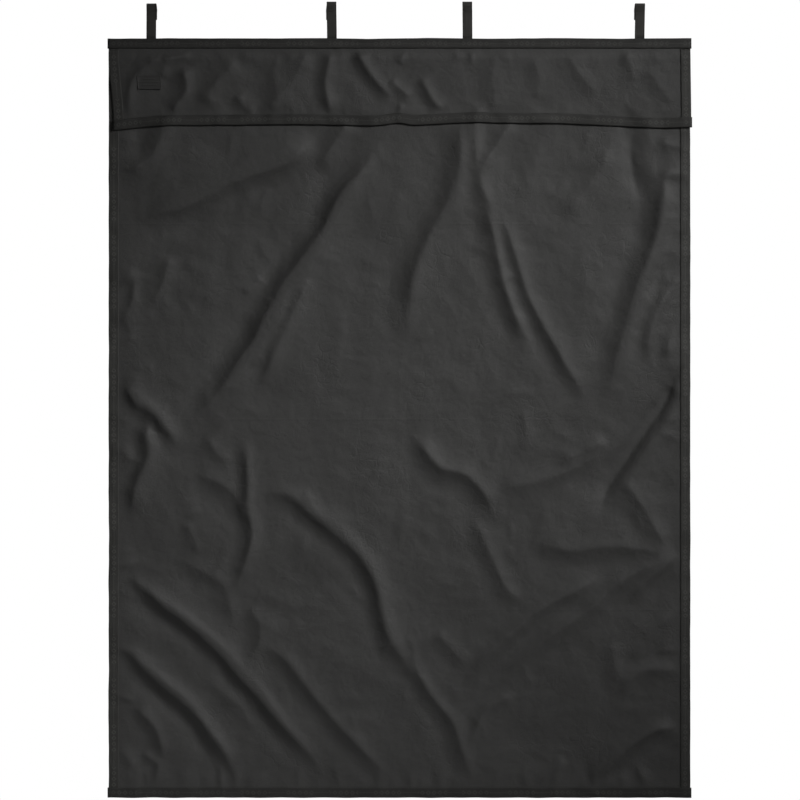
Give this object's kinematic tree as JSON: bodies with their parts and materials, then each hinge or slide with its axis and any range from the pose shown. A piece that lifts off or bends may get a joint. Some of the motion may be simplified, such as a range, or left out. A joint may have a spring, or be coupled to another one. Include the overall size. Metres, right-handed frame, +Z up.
{
  "type": "stable stall curtain",
  "caption": "Flat bound cloth curtain with a short lift-up flap, hung from a rail by webbing straps with peel-open touch-fastener loops.",
  "frame": {"origin": "on the axis of the hanging rail, midway along the curtain's width", "axes": "+Z up, front of the curtain towards -Y, +X to the right seen from the front, along the rail"},
  "size_m": [1.502, 0.02, 2.0474],
  "materials": {
    "coated_cloth": "coated woven cloth, low satin sheen",
    "binding_tape": "woven tape, matte",
    "strap_webbing": "ribbed webbing, matte",
    "label_patch": "woven patch, tone on tone",
    "loop_pile": "brushed loop pile",
    "hook_pile": "moulded hooks on tape"
  },
  "bodies": {
    "hangers": {"strap_1": "strap_webbing", "strap_2": "strap_webbing", "strap_3": "strap_webbing", "strap_4": "strap_webbing", "loop_patch_1": "loop_pile", "loop_patch_2": "loop_pile", "loop_patch_3": "loop_pile", "loop_patch_4": "loop_pile"},
    "curtain": {"main_panel": "coated_cloth", "top_binding": "binding_tape", "bottom_binding": "binding_tape", "left_binding": "binding_tape", "right_binding": "binding_tape", "strap_anchor_1": "strap_webbing", "strap_anchor_2": "strap_webbing", "strap_anchor_3": "strap_webbing", "strap_anchor_4": "strap_webbing"},
    "flap": {"flap_panel": "coated_cloth", "flap_bottom_binding": "binding_tape", "flap_left_binding": "binding_tape", "flap_right_binding": "binding_tape", "label_patch": "label_patch"},
    "tab_body_1": {"tab_1": "strap_webbing", "hook_patch_1": "hook_pile"},
    "tab_body_2": {"tab_2": "strap_webbing", "hook_patch_2": "hook_pile"},
    "tab_body_3": {"tab_3": "strap_webbing", "hook_patch_3": "hook_pile"},
    "tab_body_4": {"tab_4": "strap_webbing", "hook_patch_4": "hook_pile"}
  },
  "joints": [
    {"name": "curtain_swing", "type": "hinge", "parent": "hangers", "child": "curtain", "pos_m": [0, -0.00225, -0.0819], "axis": [1, 0, 0], "range_deg": [-60, 60]},
    {"name": "flap_lift", "type": "hinge", "parent": "curtain", "child": "flap", "pos_m": [0, -0.00965, -0.1109], "axis": [-1, 0, 0], "range_deg": [0, 120]},
    {"name": "strap_1_open", "type": "hinge", "parent": "hangers", "child": "tab_body_1", "pos_m": [-0.639, 0.00433, 0.00649], "axis": [1, 0, 0], "range_deg": [0, 150]},
    {"name": "strap_2_open", "type": "hinge", "parent": "hangers", "child": "tab_body_2", "pos_m": [-0.174, 0.00433, 0.00649], "axis": [1, 0, 0], "range_deg": [0, 150]},
    {"name": "strap_3_open", "type": "hinge", "parent": "hangers", "child": "tab_body_3", "pos_m": [0.175, 0.00433, 0.00649], "axis": [1, 0, 0], "range_deg": [0, 150]},
    {"name": "strap_4_open", "type": "hinge", "parent": "hangers", "child": "tab_body_4", "pos_m": [0.618, 0.00433, 0.00649], "axis": [1, 0, 0], "range_deg": [0, 150]}
  ]
}
